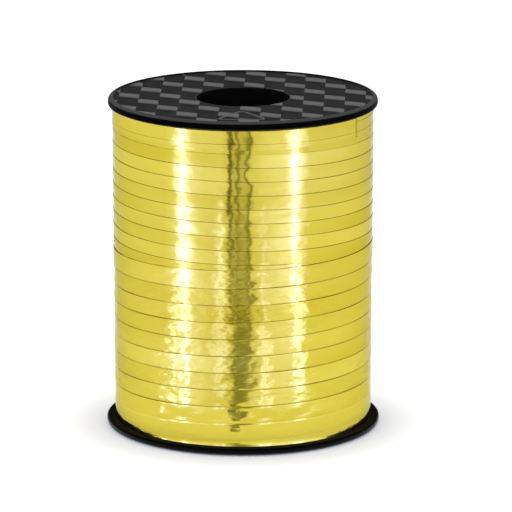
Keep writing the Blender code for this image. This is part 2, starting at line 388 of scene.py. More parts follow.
def only_in_film(obj, lit):
    """Lets only reflections see a studio piece, and only those in the collection's objects."""
    obj.visible_camera = False
    obj.visible_diffuse = False
    obj.visible_shadow = False
    obj.visible_transmission = False
    obj.light_linking.receiver_collection = lit


def add_tent():
    ring = [around(360 * i / TENT_STEPS, TENT_RADIUS, 0) for i in range(TENT_STEPS)]
    vertices = [(x, y, z) for z in (TENT_FOOT, TENT_HEIGHT) for x, y, _ in ring]
    n = TENT_STEPS
    faces = [(i, (i + 1) % n, (i + 1) % n + n, i + n) for i in range(n)]
    return add_stage("paper_tent", vertices, faces, make_tent_paper())


lit_by_tent = bpy.data.collections.new("lit_by_tent")
only_in_film(add_tent(), lit_by_tent)
print("tent", round(2 * TENT_RADIUS / MM), "mm across with", len(TENT_BANDS), "bands of lights")

# %% Slats at the tent's foot
SLATS = ((6.4, -5.4, -1.5), (8.6, -6.4, -2.4), (10.8, -6.0, -1.6), (13.2, -6.6, -2.8))
SLAT_WIDTH = 1.5  # seen on the film, in millimetres
SLAT_LEVEL = 0.3 * MM
LOOK_DOWN = math.tan(math.radians(15.2))  # how steeply the lens sees the film's foot


def add_slats():
    """Short dark slats on the floor, placed by where the film shows them: height, left and right azimuth."""
    material, tree, _ = new_material("black_slats")
    shine(tree, (0, 0, 0, 1), 0.0)
    vertices, faces = [], []
    for height, left, right in SLATS:
        for azimuth, rise in ((left, -0.5), (right, -0.5), (right, 0.5), (left, 0.5)):
            x, y, _ = around(azimuth, FILM_RADIUS, 0)
            dx, dy, _ = around(2 * azimuth, (height + rise * SLAT_WIDTH) * MM / LOOK_DOWN, 0)
            vertices.append((x + dx, y + dy, SLAT_LEVEL))
        faces.append(tuple(range(len(vertices) - 4, len(vertices))))
    return add_stage("tent_slats", vertices, faces, material)


only_in_film(add_slats(), lit_by_tent)
print(len(SLATS), "slats")

# %% [markdown]
# ## Plastic
#
# The spool is one black moulding material with several faces: glossy on the rim, dull in the bore, and on
# the woven field either the dark ground or the paler raised floats. All of them share a very fine grain from
# the mould, so the grain is a node group, built once, which each plastic places with its own scale and
# depth. A second group knows where the floats lie, so that a painted shade can darken the floats towards
# their ends and the ground towards the floats, standing in for the shading where threads dive under.


# %% Mould grain, a node group
def group_sockets(tree, inputs, outputs):
    for name, kind, value in inputs:
        socket = tree.interface.new_socket(name, in_out="INPUT", socket_type=kind)
        socket.default_value = value
    for name, kind in outputs:
        tree.interface.new_socket(name, in_out="OUTPUT", socket_type=kind)


def make_mould_grain():
    """Fine sandy relief with a little tone: puts out a height and a tone, both from 0 to 1."""
    tree = bpy.data.node_groups.new("mould_grain", "ShaderNodeTree")
    group_sockets(
        tree,
        [("Scale", "NodeSocketFloat", 3000.0), ("Stretch", "NodeSocketVector", (1, 1, 1))],
        [("Height", "NodeSocketFloat"), ("Tone", "NodeSocketFloat")],
    )
    given = add_node(tree, "NodeGroupInput")
    where = add_node(tree, "TexCoord").outputs["Object"]
    stretched = vector_math(tree, "MULTIPLY", {0: where, 1: given.outputs["Stretch"]})
    fine = add_noise(tree, stretched, given.outputs["Scale"], 2.0)
    broad = add_noise(tree, stretched, 220.0, 3.0)
    add_node(tree, "NodeGroupOutput", {"Height": fine, "Tone": broad})
    return tree


mould_grain = make_mould_grain()
print("mould_grain has", len(mould_grain.nodes), "nodes")


# %% The woven field's lattice
COLUMN = 5.374 * MM
PERIOD = 15.65 * MM
FLOAT_LENGTH = 5.28 * MM
FLOAT_STEP = 7.69 * MM  # how far floats move along from one column to the next
FLOAT_SLANT = 0.45  # how far an end falls per unit to the right
FIELD_TURN = math.radians(-1.894)
COLUMN_START = -0.22 * MM
FLOAT_START = -0.06 * MM


def make_weave_lattice():
    """Distance, in metres along a column, from the middle of the nearest float."""
    tree = bpy.data.node_groups.new("weave_lattice", "ShaderNodeTree")
    group_sockets(tree, [("Slant", "NodeSocketFloat", FLOAT_SLANT)], [("Distance", "NodeSocketFloat")])
    given = add_node(tree, "NodeGroupInput")
    where = add_node(tree, "TexCoord").outputs["Object"]
    turned_place = add_node(
        tree, "VectorRotate", {"Vector": where, "Angle": -FIELD_TURN}, rotation_type="Z_AXIS"
    ).outputs[0]
    apart = add_node(tree, "SeparateXYZ", {0: turned_place}).outputs
    columns = add_math(tree, "DIVIDE", add_math(tree, "SUBTRACT", apart[0], COLUMN_START), COLUMN)
    column = add_math(tree, "FLOOR", columns)
    inside = add_math(tree, "SUBTRACT", add_math(tree, "SUBTRACT", columns, column), 0.5)
    slanted = add_math(tree, "MULTIPLY", add_math(tree, "MULTIPLY", inside, COLUMN), given.outputs[0])
    stepped = add_math(tree, "MULTIPLY_ADD", column, -FLOAT_STEP, -FLOAT_START)
    along = add_math(tree, "ADD", add_math(tree, "ADD", apart[1], slanted), stepped)
    add_node(tree, "NodeGroupOutput", {0: add_math(tree, "PINGPONG", along, PERIOD / 2)})
    return tree


weave_lattice = make_weave_lattice()
print("weave_lattice has", len(weave_lattice.nodes), "nodes")


# %% The plastics
def make_plastic(name, dark, pale, roughness, specular, grain, stretch=(1, 1, 1), weave=None, sheen=0.0):
    """Moulded plastic whose grey wanders from dark to pale, with roughness (low, high) and grain (scale, mm).

    With weave=(start, end, tone) the colour is multiplied by a painted shade that is 1 up to start millimetres
    from a float's middle and falls off to the given tone at end. sheen is a faint bloom at a glancing angle.
    """
    material, tree, shader = new_material(name)
    grained = add_node(tree, "Group", {"Scale": grain[0], "Stretch": stretch}, node_tree=mould_grain)
    tone = grained.outputs["Tone"]
    colour = mix_colours(tree, tone, (dark, dark, dark, 1), (pale, pale, pale, 1))
    if weave:
        lattice = add_node(tree, "Group", node_tree=weave_lattice).outputs[0]
        # Painted shade along each column: floats darken towards their ends and the ground lightens away from
        # them.
        painted_shade = remap(tree, lattice, weave[0] * MM, weave[1] * MM, 1.0, weave[2], "SMOOTHSTEP")
        colour = vector_math(tree, "SCALE", {0: colour, "Scale": painted_shade})
    tree.links.new(colour, shader.inputs["Base Color"])
    tree.links.new(remap(tree, tone, 0.3, 0.7, *roughness), shader.inputs["Roughness"])
    bump = add_node(tree, "Bump", {"Height": grained.outputs["Height"], "Distance": grain[1] * MM})
    tree.links.new(bump.outputs["Normal"], shader.inputs["Normal"])
    set_inputs(shader, Specular_IOR_Level=specular, Sheen_Weight=sheen, Sheen_Roughness=0.3)
    return material


STREAKED = (1, 0.12, 1)  # grain stretched along the columns
rim_plastic = make_plastic("rim_plastic", 0.0008, 0.0014, (0.28, 0.38), 0.07, (5000, 0.004), sheen=0.10)
ground_plastic = make_plastic(
    "ground_plastic", 0.007, 0.012, (0.55, 0.65), 0.10, (2600, 0.02), STREAKED, (2.6, 7.0, 1.35)
)
float_plastic = make_plastic(
    "float_plastic", 0.095, 0.140, (0.42, 0.55), 0.30, (2600, 0.02), STREAKED, (0.9, 2.9, 0.50)
)
bore_plastic = make_plastic("bore_plastic", 0.002, 0.003, (0.7, 0.8), 0.05, (3000, 0.01))
inner_plastic = make_plastic("inner_plastic", 0.006, 0.010, (0.65, 0.75), 0.05, (3000, 0.01))
# Painted highlight: a paler copy of the black plastic for the lip faces that face out of the spool.
lit_lip_plastic = make_plastic("lit_lip_plastic", 0.034, 0.046, (0.40, 0.50), 0.25, (5000, 0.006))
tube_plastic = make_plastic("tube_plastic", 0.008, 0.013, (0.45, 0.6), 0.3, (1500, 0.01))
mark_plastic = make_plastic("mark_plastic", 0.07, 0.10, (0.35, 0.45), 0.4, (3000, 0.01))
FLANGE_PLASTICS = (rim_plastic, ground_plastic, float_plastic, bore_plastic, inner_plastic, lit_lip_plastic)
GROUND, FLOAT, BORE, INNER, LIT_LIP = range(1, len(FLANGE_PLASTICS))  # all other faces have the rim's
print(len(FLANGE_PLASTICS), "plastics for the flanges, one for the tube and one for the mark")

# %% [markdown]
# ## Flanges
#
# Each flange is one moulding: a disc with a rounded rim, a sleeve round the bore, a spigot that plugs into
# the core tube, and six ribs between them. A turned profile makes the round shape and Booleans add the ribs.
# The outer face lies inside a low lip and has the woven field. Its columns run front to back. In each column
# short pale floats and long dark stretches alternate, neighbouring columns are about half a period apart,
# and the ends of the floats slant. Cutting the face along those lines and raising the floats makes crisp
# relief from few faces.


# %% Turned shapes
def link_mesh(name, bm, materials):
    mesh = bpy.data.meshes.new(name)
    bm.to_mesh(mesh)
    bm.free()
    for material in materials:
        mesh.materials.append(material)
    obj = bpy.data.objects.new(name, mesh)
    bpy.context.scene.collection.objects.link(obj)
    return obj


def turned(outline, steps):
    """A closed ring turned from an outline of (radius, height) that runs down its outer side."""
    bm = bmesh.new()
    rings = []
    for i in range(steps):
        azimuth = 360 * i / steps
        rings.append([bm.verts.new(around(azimuth, r, z)) for r, z in outline])
    for ring, following in zip(rings, rings[1:] + rings[:1]):
        for k in range(len(outline)):
            bm.faces.new((ring[k - 1], ring[k], following[k], following[k - 1]))
    bmesh.ops.recalc_face_normals(bm, faces=bm.faces)
    return bm


def arc(centre_r, centre_z, radius, start, end, points=7):
    angles = [math.radians(start + (end - start) * i / (points - 1)) for i in range(points)]
    return [(centre_r + radius * math.cos(a), centre_z + radius * math.sin(a)) for a in angles]


print("turned shapes are ready")

# %% Flange profile and ribs
FLANGE_STEPS = 192
RIM_FILLET = 0.6 * MM
CREST_FILLET = 1.1 * MM  # round of the lip's outer side
LIT_LIP_FACING = 0.45  # how far out a lip face must face to get the paler plastic, a painted highlight, as a normal's height
LIP_WIDTH = 0.95 * MM
LIP_HEIGHT = 0.45 * MM
UPPER_LIP_RISE = 0.25 * MM  # the visual lip tops the CAD face by this
FIELD_RADIUS_CUT = 1.4 * MM  # the woven field stops this far inside the rim
LIP_FILLET = 0.35 * MM
WALL = 1.5 * MM
RIB_THICKNESS = 1.2 * MM
RIB_DEPTH = 8.0 * MM
RIB_BARS = 3
SPIGOT_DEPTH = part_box("lower_flange")[1].z - low_face
spigot_outer = tube_inner - SOLID_GAP


def flange_outline(rim, thick):
    """Section of a flange that stands on its lip, on z = 0, with its spigot up."""
    top = thick + SPIGOT_DEPTH
    crest = rim - CREST_FILLET
    foot = rim - LIP_WIDTH - 0.3 * MM
    return [
        *arc(rim - RIM_FILLET, thick - RIM_FILLET, RIM_FILLET, 90, 0),
        *arc(crest, CREST_FILLET, CREST_FILLET, 0, -90, 10),
        *arc(crest - 0.02 * MM, 0.1 * MM, 0.1 * MM, 270, 200, 4),
        (foot + 0.05 * MM, LIP_HEIGHT - 0.05 * MM),
        (foot, LIP_HEIGHT),
        (rim - FIELD_RADIUS_CUT, LIP_HEIGHT),
        *arc(bore_radius + LIP_FILLET, LIP_HEIGHT + LIP_FILLET, LIP_FILLET, 270, 180, 4),
        (bore_radius, top),
        (bore_radius + WALL, top),
        (bore_radius + WALL, thick),
        (spigot_outer - WALL, thick),
        (spigot_outer - WALL, top),
        (spigot_outer - WALL / 3, top),
        (spigot_outer, top - WALL / 3),
        (spigot_outer, thick),
    ]


def add_ribs(bm, thick):
    """Unites the flange with bars across the bore, and then clears the bore again."""
    body = link_mesh("flange_body", bm, [])
    tools = []
    for i in range(RIB_BARS):
        rib = bmesh.new()
        bmesh.ops.create_cube(rib, size=1.0)
        reach = 2 * (spigot_outer - WALL / 2)
        bmesh.ops.scale(rib, vec=(reach, RIB_THICKNESS, RIB_DEPTH + thick / 2), verts=rib.verts)
        tools.append((link_mesh("rib", rib, []), "UNION"))
        tools[-1][0].location.z = thick / 2 + (RIB_DEPTH + thick / 2) / 2
        tools[-1][0].rotation_euler.z = math.pi * (i + 0.5) / RIB_BARS
    plug = bmesh.new()
    bmesh.ops.create_cone(
        plug, cap_ends=True, segments=FLANGE_STEPS, radius1=bore_radius, radius2=bore_radius, depth=1.0
    )
    tools.append((link_mesh("plug", plug, []), "DIFFERENCE"))
    tools[-1][0].rotation_euler.z = math.pi / 2
    for tool, operation in tools:
        modifier = body.modifiers.new(tool.name, "BOOLEAN")
        modifier.object = tool
        modifier.operation = operation
    evaluated = body.evaluated_get(bpy.context.evaluated_depsgraph_get())
    result = bmesh.new()
    result.from_mesh(evaluated.to_mesh())
    evaluated.to_mesh_clear()
    for obj in [body, *[tool for tool, _ in tools]]:
        bpy.data.objects.remove(obj)
    return result


print(f"spigots reach {SPIGOT_DEPTH / MM:.1f} mm into the tube")

# %% The woven field
FLOAT_SLOPE = 0.25 * MM
FLOAT_RISE = 0.10 * MM


def field_place(x, y):
    """A point of the face in the field's own directions: across the columns, and along them."""
    c, s = math.cos(FIELD_TURN), math.sin(FIELD_TURN)
    return c * x + s * y, -s * x + c * y


def field_direction(u, v):
    c, s = math.cos(FIELD_TURN), math.sin(FIELD_TURN)
    return c * u - s * v, s * u + c * v


def column_of(u):
    """Number and middle of the column at u."""
    column = math.floor((u - COLUMN_START) / COLUMN)
    return column, COLUMN_START + (column + 0.5) * COLUMN


def in_float(x, y):
    u, v = field_place(x, y)
    column, middle = column_of(u)
    shifted = v + FLOAT_SLANT * (u - middle) - FLOAT_START - FLOAT_STEP * column
    return abs((shifted + PERIOD / 2) % PERIOD - PERIOD / 2) < FLOAT_LENGTH / 2


def cut(bm, faces, point, normal):
    """Cuts the given faces by an upright plane. point and normal are in the field's directions."""
    parts = set(faces)
    for face in faces:
        parts.update(face.edges)
        parts.update(face.verts)
    bmesh.ops.bisect_plane(
        bm,
        geom=list(parts),
        dist=0.2e-6,
        plane_co=(*field_direction(*point), 0),
        plane_no=(*field_direction(*normal), 0),
    )


def weave(bm, rim, face_z):
    """Cuts the woven field into the flat outer face at face_z and raises its floats."""
    outer = rim - FIELD_RADIUS_CUT
    inner = bore_radius + LIP_FILLET

    def field_faces(column=None):
        found = []
        for face in bm.faces:
            middle = face.calc_center_median()
            if abs(middle.z - face_z) > 1e-6 or abs(face.normal.z) < 0.99:
                continue
            if not inner < math.hypot(middle.x, middle.y) < outer:
                continue
            if column is None or column_of(field_place(middle.x, middle.y)[0])[0] == column:
                found.append(face)
        return found

    first, last = column_of(-outer)[0] - 1, column_of(outer)[0] + 1
    for column in range(first, last + 1):
        cut(bm, field_faces(), (COLUMN_START + column * COLUMN, 0), (1, 0))
    for column in range(first, last + 1):
        middle_u = COLUMN_START + (column + 0.5) * COLUMN
        start = (FLOAT_START + FLOAT_STEP * column + PERIOD / 2) % PERIOD - PERIOD / 2
        for k in range(-3, 4):
            for end in (-0.5, 0.5):
                v = start + k * PERIOD + end * FLOAT_LENGTH
                if abs(v) < outer + COLUMN:
                    cut(bm, field_faces(column), (middle_u, v), (FLOAT_SLANT, 1))
    ground = field_faces()
    floats = [face for face in ground if in_float(*face.calc_center_median().xy)]
    for face in ground:
        face.material_index = GROUND
        face.smooth = False
    for face in floats:
        face.material_index = FLOAT
    slopes = bmesh.ops.inset_region(
        bm, faces=floats, thickness=FLOAT_SLOPE, depth=FLOAT_RISE, use_even_offset=True, use_boundary=True
    )["faces"]
    for face in slopes:
        face.smooth = False
    return len(floats)


print("columns of floats are", COLUMN / MM, "mm apart")

# %% The two flanges
def add_flange(name, node, rim, thick, upside_down):
    rise = UPPER_LIP_RISE if upside_down else 0
    bm = add_ribs(turned(flange_outline(rim, thick + rise), FLANGE_STEPS), thick + rise)
    for face in bm.faces:
        face.smooth = True
    face_z, inner_z, out = LIP_HEIGHT, thick, -1
    if upside_down:
        bmesh.ops.scale(bm, vec=(1, 1, -1), verts=bm.verts)
        bmesh.ops.translate(bm, vec=(0, 0, spool_height + rise), verts=bm.verts)
        bmesh.ops.reverse_faces(bm, faces=bm.faces)
        face_z, inner_z, out = spool_height + rise - LIP_HEIGHT, spool_height - thick, 1
    count = weave(bm, rim, face_z)
    for face in bm.faces:
        middle = face.calc_center_median()
        if math.hypot(middle.x, middle.y) < bore_radius + 0.1 * MM and abs(face.normal.z) < 0.5:
            face.material_index = BORE
        elif abs(face.normal.z) > 0.99 and abs(middle.z - inner_z) < 0.05 * MM:
            face.material_index = INNER
        # Painted highlight on the lip's outward faces.
        elif math.hypot(middle.x, middle.y) > rim - FIELD_RADIUS_CUT and out * face.normal.z > LIT_LIP_FACING:
            face.material_index = LIT_LIP
    obj = link_mesh(name, bm, FLANGE_PLASTICS)
    obj.data.set_sharp_from_angle(angle=math.radians(32))
    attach(obj, "spool")
    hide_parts(node)
    print(f"{name}: {len(obj.data.polygons)} faces, {count} of them in floats")


add_flange("upper_flange_moulding", "upper_flange", top_rim, spool_height - high_face, True)
add_flange("lower_flange_moulding", "lower_flange", bottom_rim, low_face, False)

# %% [markdown]
# ## Core tube
#
# The tube is hidden by the ribbon outside and the flanges' spigots inside. Its CAD solid has the right
# shape, so it stays and only gets the plastic.

# %% The core tube
core = nodes["core_tube"]
core.data.materials.clear()
core.data.materials.append(tube_plastic)
print("core tube keeps its", len(core.data.polygons), "faces")

# %% [markdown]
# ## Gold film
#
# Metallised film is polypropylene with a breath of aluminium under a yellow lacquer. As a material it is
# pure metal with a lemon base colour. Ribbon of this kind is drawn over a blade so that it will curl, and
# that leaves fine creases along its length. They spread every reflection up and down and leave it sharp
# sideways. Three things make that here: anisotropic gloss that is stretched upright, a bump of long low
# creases, and ripples in the mesh itself that push whole turns of the reflection sideways.


# %% Creases, a node group
CREASE_DEPTH = 0.16 * MM  # where the film is fully creased
HAIR_DEPTH = 0.003 * MM


def make_film_creases():
    """Creases that run along the ribbon. UV u is metres along it, v metres across it."""
    tree = bpy.data.node_groups.new("film_creases", "ShaderNodeTree")
    group_sockets(
        tree,
        [
            ("Long Scale", "NodeSocketFloat", 330.0),
            ("Cross Scale", "NodeSocketFloat", 760.0),
            ("Depth", "NodeSocketFloat", CREASE_DEPTH),
            ("Hair Depth", "NodeSocketFloat", HAIR_DEPTH),
        ],
        [("Tone", "NodeSocketFloat"), ("Normal", "NodeSocketVector")],
    )
    given = add_node(tree, "NodeGroupInput").outputs
    where = add_node(tree, "UVMap", uv_map="film").outputs[0]
    apart = add_node(tree, "SeparateXYZ", {0: where}).outputs
    along = add_math(tree, "MULTIPLY", apart[0], given["Long Scale"])
    across = add_math(tree, "MULTIPLY", apart[1], given["Cross Scale"])
    place = add_node(tree, "CombineXYZ", {0: along, 1: across}).outputs[0]
    creases = add_noise(tree, place, 1.0, 1.2)
    hairs = add_noise(tree, place, 5.0, 1.0)
    tone = add_noise(tree, vector_math(tree, "MULTIPLY", {0: place, 1: (0.05, 0.08, 0.0)}), 1.0, 3.0)
    broad = add_node(tree, "Bump", {"Height": creases, "Distance": given["Depth"]}).outputs[0]
    inputs = {"Height": hairs, "Distance": given["Hair Depth"], "Normal": broad}
    fine = add_node(tree, "Bump", inputs).outputs[0]
    add_node(tree, "NodeGroupOutput", {"Tone": tone, "Normal": fine})
    return tree


film_creases = make_film_creases()
print("film_creases has", len(film_creases.nodes), "nodes")

# %% The film material
GOLD_DEEP = (0.57, 0.46, 0.032, 1.0)
GOLD_PALE = (0.71, 0.61, 0.088, 1.0)
# Colour of the dark edge lines: partly the slit edges' own wear, partly painted shade at the steps between
# turns, at the cut end and over an edge underneath.
EDGE_WEAR_AND_SHADE_GOLD = (0.09, 0.068, 0.005, 1.0)
GRAZING_TINT = (0.74, 0.72, 0.56, 1.0)


FILM_ROUGHNESS = (0.12, 0.17)  # where it is deep, and where it is pale
TURN_SHARE = 0.6  # how far a turn's own tone shifts its colour
BLOTCH_SHARE = 2.0
TONE_SPAN = (0.7, 1.9)
SMOOTH_SHARE = 0.5  # smooth film has this part of the roughness
ANISOTROPY = 0.7
UPRIGHT = 0.25  # turns, from the tangent that runs round the spool


def make_film():
    """Gold film. turn_tone gives each turn its own tone. The edge-darkening attribute paints the slit edges
    darker, partly as real wear and partly as painted shade at the steps between turns, and paints shade at the
    cut end and over an edge underneath. creased gives the creases.
    """
    material, tree, shader = new_material("gold_film")
    creased = attribute(tree, "creased")
    creases = add_node(tree, "Group", node_tree=film_creases)
    tree.links.new(add_math(tree, "MULTIPLY", creased, CREASE_DEPTH), creases.inputs["Depth"])
    turn_share = add_math(tree, "MULTIPLY", attribute(tree, "turn_tone"), TURN_SHARE)
    blended = add_math(tree, "MULTIPLY_ADD", creases.outputs["Tone"], BLOTCH_SHARE, turn_share)
    share = remap(tree, blended, *TONE_SPAN)
    colour = mix_colours(tree, share, GOLD_DEEP, GOLD_PALE)
    # Painted wear and shade: the film's edges are mixed towards the dark edge colour.
    edged = mix_colours(tree, attribute(tree, "wear_and_shade"), colour, EDGE_WEAR_AND_SHADE_GOLD)
    rough = remap(tree, share, 0.0, 1.0, *FILM_ROUGHNESS)
    sharpened = add_math(tree, "MULTIPLY_ADD", creased, 1 - SMOOTH_SHARE, SMOOTH_SHARE)
    tangent = add_node(tree, "Tangent", direction_type="RADIAL", axis="Z")
    tree.links.new(edged, shader.inputs["Base Color"])
    tree.links.new(add_math(tree, "MULTIPLY", rough, sharpened), shader.inputs["Roughness"])
    tree.links.new(creases.outputs["Normal"], shader.inputs["Normal"])
    tree.links.new(tangent.outputs[0], shader.inputs["Tangent"])
    set_inputs(
        shader, Metallic=1.0, Specular_Tint=GRAZING_TINT, Anisotropic=ANISOTROPY, Anisotropic_Rotation=UPRIGHT
    )
    return material


gold_film = make_film()
print("gold film is ready")

# %% [markdown]
# ## Turns of film
#
# A turn is a flat strip bent round the spool. Each strip is a closed loft: at every few degrees it gets a
# cross-section with a smooth outer face, rolled edges and a plain back. The path says where the strip runs,
# and the ripple says how far the film bulges there. UVs are laid in metres along and across the strip, so
# that creases follow the ribbon wherever it goes.

# %% The strip's section
FILM = 0.10 * MM
FILM_WIDTH = 5.0 * MM
STATION = 1.5  # degrees between cross-sections
ACROSS = (-1.0, -0.95, -0.90, -0.8, -0.6, -0.42, -0.38, -0.34, -0.1, 0.15, 0.4, 0.6, 0.8, 0.92, 0.95, 1.0)
EDGE_ROLL = 0.06 * MM
EDGE_START = 0.85
WEAR_AND_SHADE_FROM = (0.89, 0.94)  # where the painted wear and shade begin, for the lower and the upper edge
WEAR_AND_SHADE_FULL = 0.94  # the lower edge's painted wear and shade reach further in at the sides
WEAR_AND_SHADE_SIDE = 0.7
SMOOTH_FOOT = 9.0 * MM  # below this the edges lie flat
SHADED_HEAD = 84.2 * MM  # above this the flange hides them
EDGE_SHOWS = (0.03, 0.15)  # how much of an edge shows near the foot, and near the head
UNDERLYING_EDGE = -0.38  # where an edge underneath shows through the run along the flange, as a step and a painted shade line


def edge_drop(s):
    """How far the outer face rolls in towards an edge; s runs from -1 to 1 across the strip."""
    t = max(abs(s) - EDGE_START, 0) / (1 - EDGE_START)
    return EDGE_ROLL * t * t


def ease(t):
    t = min(max(t, 0.0), 1.0)
    return t * t * (3 - 2 * t)


def edge_gain(z):
    """How much an edge shows at a height."""
    foot, head = EDGE_SHOWS
    low = foot + (1 - foot) * ease((z - SMOOTH_FOOT) / (2 * MM))
    return low * (1 - (1 - head) * ease((z - SHADED_HEAD) / (0.8 * MM)))


print(f"film {FILM_WIDTH / MM:.1f} mm wide, with {len(ACROSS)} points across it")


# %% Ripples
TUCK = 0.2 * MM


class Ripples:
    """Bulges of the film: sums of waves round the spool, with their own phases for every turn."""

    WAVES = ((9, 0.030 * MM), (19, 0.028 * MM), (34, 0.014 * MM), (55, 0.008 * MM))  # waves a turn, height

    def __init__(self, seed, gain):
        self.seed = seed
        self.gain = gain
        self.turns = {}

    def phases(self, turn):
        if turn not in self.turns:
            rng = random.Random(self.seed * 1000 + turn)
            count = 2 * len(self.WAVES)
            self.turns[turn] = [(rng.uniform(0, math.tau), rng.uniform(0.3, 1.3)) for _ in range(count)]
        return self.turns[turn]

    def heights(self, turns_along, z):
        """Heights of the crown and of the twist across the strip, in metres.

        turns_along counts whole turns of the path; neighbouring turns fade into each other.
        """
        turn = math.floor(turns_along + 0.5)
        part = turns_along + 0.5 - turn
        fade = min(part / 0.1, 1.0)
        totals = [0.0, 0.0]
        for share, index in ((fade, turn), (1 - fade, turn - 1)):
            for k, (phase, own) in enumerate(self.phases(index)):
                count, height = self.WAVES[k // 2]
                totals[k % 2] += share * own * height * math.sin(count * math.tau * part + phase)
        return [self.gain(z) * total for total in totals]


def across_shapes(s, visible):
    """Crown and twist at s, over the part of the strip that its neighbour leaves visible."""
    low, high = visible
    t = min(max((s - low) / (high - low), 0.0), 1.0)
    arch = (t * (1 - t)) ** 2  # at most 1/16, in the middle
    return 0.08 + 14.7 * arch, 40.0 * arch * (1 - 2 * t)


def tucked(s, visible):
    """How far in the neighbour presses the part of the strip that it covers."""
    return TUCK * ease((max(visible[0] - s, s - visible[1]) - 0.02) / 0.15)


def creased_at(z):
    """How creased the film is: smooth high up, and more and more crumpled towards the lower third."""
    return 0.32 + 0.68 * ease((64 * MM - z) / (28 * MM)) * (1 - ease((20 * MM - z) / (10 * MM)))


def ripple_gain(z):
    """Stronger below the middle, and almost flat at the foot."""
    low = 1.5 + 0.9 * ease((52 * MM - z) / (20 * MM))
    return low * (1 - 0.85 * ease((12 * MM - z) / (6 * MM)))


print("ripples are", round(ripple_gain(30 * MM) / ripple_gain(70 * MM), 1), "times as high below as above")


# %% Building a strip
DRAPE_STEP = 0.05 * MM  # step over an edge underneath, along the top flange
CUT_SHADE = 0.45
# How dark the painted shade of the cut end's step is.
RELEASE = 12  # degrees over which a turn that is no longer covered rises again
FILM_LAYERS = ("turn_tone", "wear_and_shade", "creased")


def uneven_wear(azimuth):
    """From 0.44 to 1, so that an edge's painted wear and shade isn't alike all round."""
    a = math.radians(azimuth)
    return 0.72 + 0.28 * math.sin(5.3 * a) * math.sin(2.1 * a + 1)


def edge_wear(s, height, side, wear):
    """Darkening of the edge that s lies in, before the unevenness: partly real slit-edge wear, partly painted
    shade at the step between turns. side grows from front and back to the sides.
    """
    upper = s > 0
    if abs(s) <= WEAR_AND_SHADE_FROM[upper]:
        return 0.0
    if upper:
        share = 0.45 + 0.55 * side
    else:
        share = 1.0 if s < -WEAR_AND_SHADE_FULL else WEAR_AND_SHADE_SIDE * side
    return wear[upper] * edge_gain(height) * share


def strip(name, stations, ripples, drop=lambda z, azimuth: 0.0, thickness=FILM, width=FILM_WIDTH,
          tones=lambda turns_along: 0.5, wear=(1.0, 1.0), drape=lambda azimuth: 0.0, cut_at=None,
          visible=(-1.0, 1.0), covered_to=0.0):
    """A closed strip through stations of (azimuth, height, radius, lean).

    The pair of edge levels is the painted wear and shade for its lower and upper edge. visible is the part
    across it that its neighbour leaves bare, up to the azimuth covered_to. drop is how far the pack rounds in,
    and drape the step over an edge underneath.
    """
    bm = bmesh.new()
    uv = bm.loops.layers.uv.new("film")
    layers = {key: bm.verts.layers.float.new(key) for key in FILM_LAYERS}
    rings, lengths, along = [], [], 0.0
    for i, (azimuth, z, radius, lean) in enumerate(stations):
        before, after = stations[max(i - 1, 0)], stations[min(i + 1, len(stations) - 1)]
        slope = (after[1] - before[1]) / (math.radians(after[0] - before[0]) * radius)
        half = width / 2 * math.hypot(1.0, slope)
        calm = 1 - ease((azimuth - cut_at + 12) / 9) if cut_at else 1.0
        crown, twist = [calm * bulge for bulge in ripples.heights(azimuth / 360, z)]
        side = abs(math.sin(math.radians(azimuth)))
        uneven = uneven_wear(azimuth)
        step = drape(azimuth)
        draped = min(step / DRAPE_STEP, 1)
        pressed = 1 - ease((azimuth - covered_to) / RELEASE)
        if i:
            along += math.radians(azimuth - stations[i - 1][0]) * radius
        lengths.append(along)
        tone = tones(azimuth / 360)
        # Painted shade: a dark band just before the cut end, where its step would throw shade.
        cut_wear = CUT_SHADE * ease((azimuth - cut_at + 1.8) / 0.8) if cut_at else 0.0

        def add_point(s, inward):
            height = z + s * half
            shapes = across_shapes(s, visible)
            r = radius + lean * s * half + crown * shapes[0] + twist * shapes[1]
            r += step * ease((UNDERLYING_EDGE + 0.02 - s) / 0.04)
            r -= pressed * tucked(s, visible) + drop(height, azimuth) + inward
            vert = bm.verts.new(around(azimuth, r, height))
            # Painted shade: a dark line along the step over the edge underneath.
            underlying_edge_shade = uneven * draped if abs(s - UNDERLYING_EDGE) < 0.03 else 0.0
            # Slit edges darkened: partly real wear, partly painted shade at the step between turns.
            wear_and_shade = edge_wear(s, height, side, wear) * uneven * (1 - 0.9 * draped)
            for key, value in zip(FILM_LAYERS, (tone, max(wear_and_shade, cut_wear, underlying_edge_shade), creased_at(height))):
                vert[layers[key]] = value
            return vert

        ring = [add_point(s, edge_drop(s) * edge_gain(z) - thickness / 2) for s in ACROSS]
        ring += [add_point(s, EDGE_ROLL + thickness / 2) for s in (1, -1)]
        rings.append(ring)
    offsets = [s * width / 2 for s in (*ACROSS, 1, -1)]
    for i, (ring, following) in enumerate(zip(rings, rings[1:])):
        for k in range(len(ring)):
            face = bm.faces.new((ring[k - 1], following[k - 1], following[k], ring[k]))
            corners = ((i, k - 1), (i + 1, k - 1), (i + 1, k), (i, k))
            for loop, (station, place) in zip(face.loops, corners):
                loop[uv].uv = (lengths[station], offsets[place])
            face.smooth = True
    bm.faces.new(reversed(rings[0]))
    bm.faces.new(rings[-1])
    bmesh.ops.recalc_face_normals(bm, faces=bm.faces)
    obj = link_mesh(name, bm, [gold_film])
    obj.data.set_sharp_from_angle(angle=math.radians(50))
    lit_by_tent.objects.link(obj)
    return obj


def stations_between(start, end, path, step=STATION):
    count = max(2, math.ceil((end - start) / step) + 1)
    azimuths = [start + (end - start) * i / (count - 1) for i in range(count)]
    return [(azimuth, *path(azimuth)) for azimuth in azimuths]


print("a cross-section every", STATION, "degrees")


